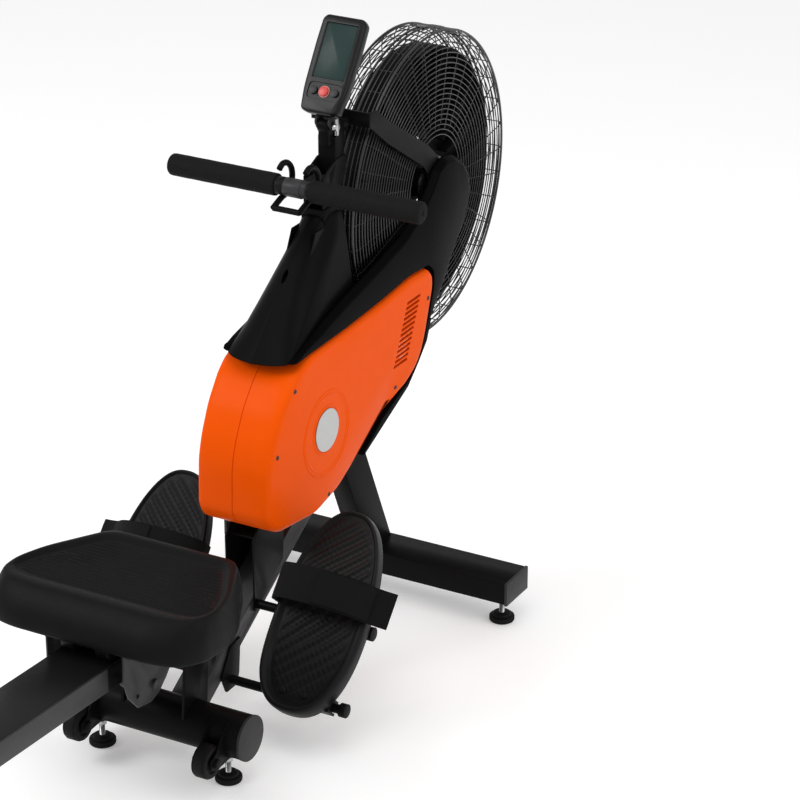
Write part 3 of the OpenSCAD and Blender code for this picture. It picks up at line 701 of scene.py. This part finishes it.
def outline(P):
    # rounded corners, then every side divided alike so that the outlines match point for point
    Q = rounded(P, 24, 6)
    out = []
    for i, k in enumerate(STEPS):
        a, b = Q[i], Q[(i + 1) % len(Q)]
        for j in range(k):
            out.append((a[0] + (b[0] - a[0]) * j / k, a[1] + (b[1] - a[1]) * j / k))
    return out


A0, A1, A2 = outline(OUTL), outline(TOPL), outline(PANL)


def mixp(P, Q, t):
    return [(p[0] * (1 - t) + q[0] * t, p[1] * (1 - t) + q[1] * t) for p, q in zip(P, Q)]


rings = []
for t, z in [(0.5, 26), (0.12, 26.2), (0.02, 28.0), (-0.02, 32), (0.0, 40), (0.06, 49), (0.16, 58), (0.32, 67),
             (0.52, 76), (0.74, 83.5), (0.92, 88.4), (1.04, 91.0)]:
    rings.append([on_rail((x, y, z)) for x, y in mixp(A0, A1, t)])
for t, z in [(0.22, 92.0), (0.42, 92.0), (0.6, 91.0), (0.76, 88.6), (0.88, 86.4), (1.0, 85.4)]:
    rings.append([on_rail((x, y, z)) for x, y in mixp(A1, A2, t)])
C0 = [(x * 0.25, -66) for x, y in A2]
NR = 96
for i in range(1, NR):
    t = i / NR
    ring = []
    for x, y in mixp(A2, C0, t):
        fade = ss(t * 12)
        w = math.cos(2 * math.pi * y / 10.5)
        rib = 1.9 * (w if w > -0.2 else -0.2 + (w + 0.2) * 0.5)
        ring.append(on_rail((x, y, 85.6 + rib * fade + 0.6 * math.sin(t * math.pi / 2))))
    rings.append(ring)
seat = make("seat_pad", *loft(rings), FOAM, "seat", deg=60, rep=["seat_cushion"])
# the carriage plate and the rollers sit in a recess of the pan
cut(seat, [cutter(boxm(-87.6, 87.6, -218.5, 27.5, 20, 42.1, on_rail))])
smooth(seat.data, 60)

# ---------------------------------------------------------------- foot plates and straps
PW, PL, PX, PO = 84, 356, 166, 35


def egg(w, l, n):
    out = []
    for i in range(n):
        a = 2 * math.pi * i / n
        c, s = math.cos(a), math.sin(a)
        out.append((w * (1 - 0.12 * s) * math.copysign(abs(c) ** 0.82, c), l / 2 * math.copysign(abs(s) ** 0.9, s)))
    return out


def pedal(sg):
    side = "right" if sg > 0 else "left"
    n = 260
    E = egg(PW, PL, n)

    def ring(d, z, lift):
        q = inset(E, [d * (1.05 - 0.62 * ss((y + 40) / 160)) for x, y in E])
        r = []
        for (x, y) in q:
            h = lift * ss((-y - 40) / 90)
            r.append(on_pedal((PX + x, PL / 2 - PO + y, z + h)))
        return r
    rr = [ring(3, 14, 0), ring(1, 14.6, 0), ring(0, 17, 0), ring(0, 33, 1.0), ring(0.6, 37, 5), ring(2.5, 39.5, 8),
          ring(5, 40.4, 9), ring(9, 40.2, 8.6), ring(12.5, 38.6, 6), ring(15, 36.8, 2.5), ring(17, 36, 0)]
    base = inset(E, [17 * (1.05 - 0.62 * ss((y + 40) / 160)) for x, y in E])
    NRR = 76
    for i in range(1, NRR):
        t = i / NRR
        r = []
        for (x, y) in base:
            px, py = x * (1 - t), y * (1 - t)
            u, v = px / 6.3 + 0.5 * math.sin(py / 31), py / 6.3 + 0.4 * math.sin(px / 23)
            bumpz = max(0.0, math.cos(u * math.pi / 2) * math.cos(v * math.pi / 2)) ** 0.8
            bump2 = max(0.0, math.sin(u * math.pi / 2) * math.sin(v * math.pi / 2)) ** 0.8
            r.append(on_pedal((PX + px, PL / 2 - PO + py, 36 + 2.0 * max(bumpz, bump2) * ss(t * 8))))
        rr.append(r)
    parts = [loft(rr)]
    for y in (0, 135):
        parts.append(boxm(106, 226, y - 12.5, y - 8.1, -12, 15, on_pedal))
        parts.append(boxm(106, 226, y + 8.1, y + 12.5, -12, 15, on_pedal))
        parts.append(boxm(106, 226, y - 8.05, y + 8.05, 8.4, 15, on_pedal))
    vf = merge(parts)
    if sg < 0:
        vf = mir(vf)
    o = make("foot_plate_" + side, *vf, PLASTIC, "frame", deg=50, rep=["pedal_" + side])
    # strap across the foot
    path = [(-87.6, -10), (-88, 4), (-87, 16), (-78, 31.5), (-62, 41), (-42, 46.5), (-20, 49.2), (0, 49.6), (22, 47.2),
            (42, 42.5), (60, 34.5), (76, 22.5), (88.6, 9), (104, 1.5), (122, -3.5)]
    pc = catmull([(x, z, 0) for x, z in path], 4)
    pc = [(p[0], p[1]) for p in pc]
    pts = [(166 + x, 40 + z) for x, z in pc]

    def tf(p):
        return on_pedal((p[0], p[1], p[2]))
    vf = strip(pts, 141, 203, 2.6, tf, 0.25)
    vf = mir(vf) if sg < 0 else vf
    o = make("foot_strap_band_" + side, *vf, WEB, "frame", deg=45, rep=["foot_strap_" + side])
    length2(pts) * MM
    # hook-and-loop tab folded back over the band
    k0, k1 = int(len(pts) * 0.50), int(len(pts) * 0.86)
    sub = []
    for i in range(k0, k1):
        a, b = pts[i - 1], pts[i + 1]
        nx, ny = nrm(a, b)
        sub.append((pts[i][0] + nx * 3.0, pts[i][1] + ny * 3.0))
    vf = strip(sub, 144, 200, 2.2, tf, 0.2)
    vf = mir(vf) if sg < 0 else vf
    o = make("foot_strap_tab_" + side, *vf, WEB, "frame", deg=45)
    length2(sub) * MM
    # bolts in the plate
    bl = []
    for y in (0, 135):
        for x in (150, 190):
            rings = [[on_pedal((x - 4 + r * math.cos(2 * math.pi * j / 20), y + r * math.sin(2 * math.pi * j / 20), z))
                      for j in range(20)] for z, r in [(33, 5.2), (37.2, 5.2), (38.6, 4.4), (39.2, 2.6), (38.3, 1.8)]]
            bl.append(loft(rings))
    vf = merge(bl)
    vf = mir(vf) if sg < 0 else vf
    make("foot_plate_bolts_" + side, *vf, NYLON, "frame")


for nm, s in SIDES:
    pedal(s)

# ---------------------------------------------------------------- pull strap
sp = [(468 + 56 * i / 40, 856.2) for i in range(41)]
vf = strip(sp, -12, 12, 1.6, lambda p: (p[1], p[0], p[2]), 0.0)
ps = make("pull_webbing", *vf, WEB, None, deg=45)
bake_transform(ps)
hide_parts("pull_strap")
run = [(524 + 16.2 * math.cos(math.radians(a)), 840 + 16.2 * math.sin(math.radians(a))) for a in range(90, -14, -8)]
e = (445.0, 442.6)
run += [(run[-1][0] + (e[0] - run[-1][0]) * i / 12, run[-1][1] + (e[1] - run[-1][1]) * i / 12) for i in range(1, 13)]
vf = strip(run, -12, 12, 1.6, lambda p: (p[1], p[0], p[2]), 0.0)
o = make("pull_webbing_run", *vf, WEB, "frame", deg=45, rep=["strap_run"])
length2(run) * MM

# ---------------------------------------------------------------- grips and handle clamp
gp = [(32.5, 12.6), (32.5, 16.5), (33.6, 18.4), (36, 19)] + [(40 + 12 * i, 19 + 0.12 * math.sin(i * 1.9))
     for i in range(16)] + [(233, 18.9), (237, 18.3), (239.3, 16.5), (240, 13), (240, 5), (239, 4), (239, 0.6)]
vf = latheX(gp, BAR, 64)
gl = merge([vf, mir(vf)])
o = make("foam_grips", *gl, GRIP, "handle", deg=40, rep=["grips"])
cl = merge([latheX([(-32.2, 12.8), (-32.2, 14.6), (-31.4, 15.4), (-14, 15.4), (-12.6, 14.4), (-12.6, 12.8)], BAR, 48,
                   closed=True),
            latheX([(26.6, 12.8), (26.6, 14.6), (27.4, 15.2), (31.2, 15.2), (32.2, 14.4), (32.2, 12.8)], BAR, 48,
                   closed=True),
            boxm(-13.5, 13.5, 451, 469.5, 852.2, 861.5)])
make("handle_clamp", *cl, PLASTIC, "handle", deg=40)
make("handle_sleeve", *latheX([(-12.4, 12.7), (-12.4, 14.0), (-11.6, 14.7), (25.4, 14.7), (26.4, 14.0), (26.4, 12.7)],
                              BAR, 48, closed=True), GREY, "handle", deg=40)

# ---------------------------------------------------------------- console
CO = rounded([(-36, 2), (-24, -2), (24, -2), (36, 2), (41, 40), (42, 120), (41, 160), (34, 168), (-34, 168),
              (-41, 160), (-42, 120), (-41, 40)], 12, 4)


def cring(d, z):
    return [on_con((x, y, z)) for x, y in inset(CO, d)]


case = make("console_shell", *loft([cring(7, -16), cring(3, -15), cring(0.8, -11), cring(0, -5), cring(0, 2),
                                    cring(0.8, 5.4), cring(2.6, 7.4), cring(5, 8.0)]), CASE, None, deg=50)


def rrect(x0, x1, y0, y1, r, z):
    return [on_con((x, y, z)) for x, y in rounded([(x0, y0), (x1, y0), (x1, y1), (x0, y1)], r, 5)]


cs = [cutter(loft([rrect(-29, 29, 58, 154, 5, 5.4), rrect(-31.5, 31.5, 55.5, 156.5, 6, 9)])),
      cutter(loft([rrect(-30, 30, 22, 50, 9, 6.4), rrect(-31, 31, 21, 51, 9, 9)]))]
for x, d in ((-20, 14.4), (0, 16.4), (20, 14.4)):
    cs.append(cutter(loft([[on_con((x + d / 2 * math.cos(2 * math.pi * j / 32),
                                    36 + d / 2 * math.sin(2 * math.pi * j / 32), z)) for j in range(32)]
                           for z in (-2, 12)])))
cut(case, cs)
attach(case, "console")
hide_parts("console_case")
o = make("console_window", *loft([rrect(-28.8, 28.8, 58.2, 153.8, 5, 4.9), rrect(-28.8, 28.8, 58.2, 153.8, 5, 5.8),
                                  rrect(-28.2, 28.2, 58.8, 153.2, 4.6, 6.1)]), LCD, "console", rep=["console_screen"])
# frame round the display, ring round the red key, and lines between the keys
trim = []
for (a, b, c, d) in ((-29, 29, 55.8, 57.6), (-29, 29, 154.4, 156.2)):
    trim.append(boxm(a, b, c, d, 6.0, 8.3, on_con))
for x in (-10, 10):
    trim.append(boxm(x - 0.35, x + 0.35, 27, 45, 6.0, 6.9, on_con))
make("console_trim", *merge(trim), BUTTON, "console", bev=0.3)
rp = [[on_con((r * math.cos(2 * math.pi * j / 40), 36 + r * math.sin(2 * math.pi * j / 40), z)) for j in range(40)]
      for r, z in [(8.4, 6.3), (8.4, 7.2), (9.4, 7.5), (10.2, 7.0), (10.2, 6.3)]]
make("console_key_ring", *loft(rp, closed=True), PINK, "console")
# yoke of the tilting joint, under the case
yk = []
for x in (10.5, -14.5):
    pr = [(20, -14), (6, -40), (-4, -48), (-16, -42), (-20, -30), (-12, -14)]
    yk.append(loft([[on_con((xx, y, z)) for y, z in inset(rounded(pr, 5, 4), 0.0)][::1] for xx in (x, x + 4)]))
make("console_yoke", *merge(yk), CAPM, "console", bev=0.5)

# ---------------------------------------------------------------- small hardware
cs = []
for p in [(311, 560), (256, 462), (768, 560), (420, 326), (655, 432)]:
    for s in (1, -1):
        off = side_x(p[0], p[1])
        prof = [(73.5 - off, 2.2), (73.5 - off, 4.4), (75.2 - off, 4.3), (76.2 - off, 3.4), (76.6 - off, 1.9),
                (75.4 - off, 1.2), (75.3 - off, 0.2)]
        vf = latheX(prof, p, 24)
        cs.append(vf if s > 0 else mir(vf))
sc = material("screw_black", (0.05, 0.012, 0.004), 0.35)
o = make("shell_screws", *merge(cs), sc, "frame", rep=["housing_screws"])

# knurled rings on the levelling feet
kn = []
for (x, y) in ((123, 0), (-123, 0), (263, 702), (-263, 702)):
    n = 72
    rings = []
    for z, r, amp in [(0.0, 20.5, 0), (1.0, 22, 0.0), (2.5, 22.2, 0.55), (9, 22.2, 0.55), (10.2, 21.2, 0.2),
                      (10.8, 17, 0), (15, 15.5, 0), (16, 13, 0), (16, 5.2, 0)]:
        rings.append([(x + (r + amp * math.cos(j * math.pi)) * math.cos(2 * math.pi * j / n),
                       y + (r + amp * math.cos(j * math.pi)) * math.sin(2 * math.pi * j / n), z) for j in range(n)])
    kn.append(loft(rings))
make("foot_discs", *merge(kn), RUBBER, "frame", deg=40)
st = []
for (x, y) in ((123, 0), (-123, 0), (263, 702), (-263, 702)):
    top = 62
    rings = []
    z = 14.0
    while z < top:
        for dz, r in ((0, 5.0), (0.75, 4.35)):
            rings.append([(x + r * math.cos(2 * math.pi * j / 24), y + r * math.sin(2 * math.pi * j / 24), z + dz)
                          for j in range(24)])
        z += 1.5
    st.append(loft(rings))
    hexr = [[(x + r * math.cos(math.radians(60 * j)), y + r * math.sin(math.radians(60 * j)), zz) for j in range(6)]
            for zz, r in ((37.5, 8.6), (38.3, 9.4), (44.2, 9.4), (45, 8.6))]
    st.append(loft(hexr))
make("foot_studs", *merge(st), ZINC, "frame", deg=30, rep=["frame_feet"])

# ---------------------------------------------------------------- stage, light and camera
fl = bpy.data.meshes.new("floor")
fl.from_pydata([(-14, -14, 0), (14, -14, 0), (14, 14, 0), (-14, 14, 0)], [], [(0, 1, 2, 3)])
fo = bpy.data.objects.new("floor", fl)
bpy.context.scene.collection.objects.link(fo)
fo.location.z = -0.0004
FL = material("floor_white", (0.93, 0.93, 0.93), 0.9, var=0.01, scale=3, spec=0.1)
FL.node_tree.nodes["Principled BSDF"].inputs["Emission Color"].default_value = (1, 1, 1, 1)
FL.node_tree.nodes["Principled BSDF"].inputs["Emission Strength"].default_value = 0.24
fl.materials.append(FL)

w = bpy.data.worlds.new("world")
bpy.context.scene.world = w
w.use_nodes = True
w.node_tree.nodes["Background"].inputs[0].default_value = (1, 1, 1, 1)
w.node_tree.nodes["Background"].inputs[1].default_value = 0.62


def area(name, loc, target, size, power):
    l = bpy.data.lights.new(name, "AREA")
    l.shape = "RECTANGLE"
    l.size, l.size_y = size
    l.energy = power
    lo = bpy.data.objects.new(name, l)
    bpy.context.scene.collection.objects.link(lo)
    lo.location = loc
    d = Vector(target) - Vector(loc)
    lo.rotation_euler = d.to_track_quat("-Z", "Y").to_euler()


area("key", (-2.6, -2.2, 3.4), (0, 0.3, 0.5), (1.6, 1.6), 70)
area("fill", (3.4, 0.4, 2.4), (0, 0.4, 0.5), (2.2, 2.2), 30)
area("top", (0.4, -0.6, 4.0), (0, 0.3, 0.3), (2.5, 2.5), 34)

cam = bpy.data.cameras.new("camera")
cam.sensor_width = 36
cam.lens = 142.1
co = bpy.data.objects.new("camera", cam)
bpy.context.scene.collection.objects.link(co)
co.location = (2.5065, -3.7443, 2.7001)
co.rotation_euler = (math.radians(90 - 24.51), 0, math.radians(28.87))
bpy.context.scene.camera = co
bpy.context.scene.view_settings.view_transform = "Standard"
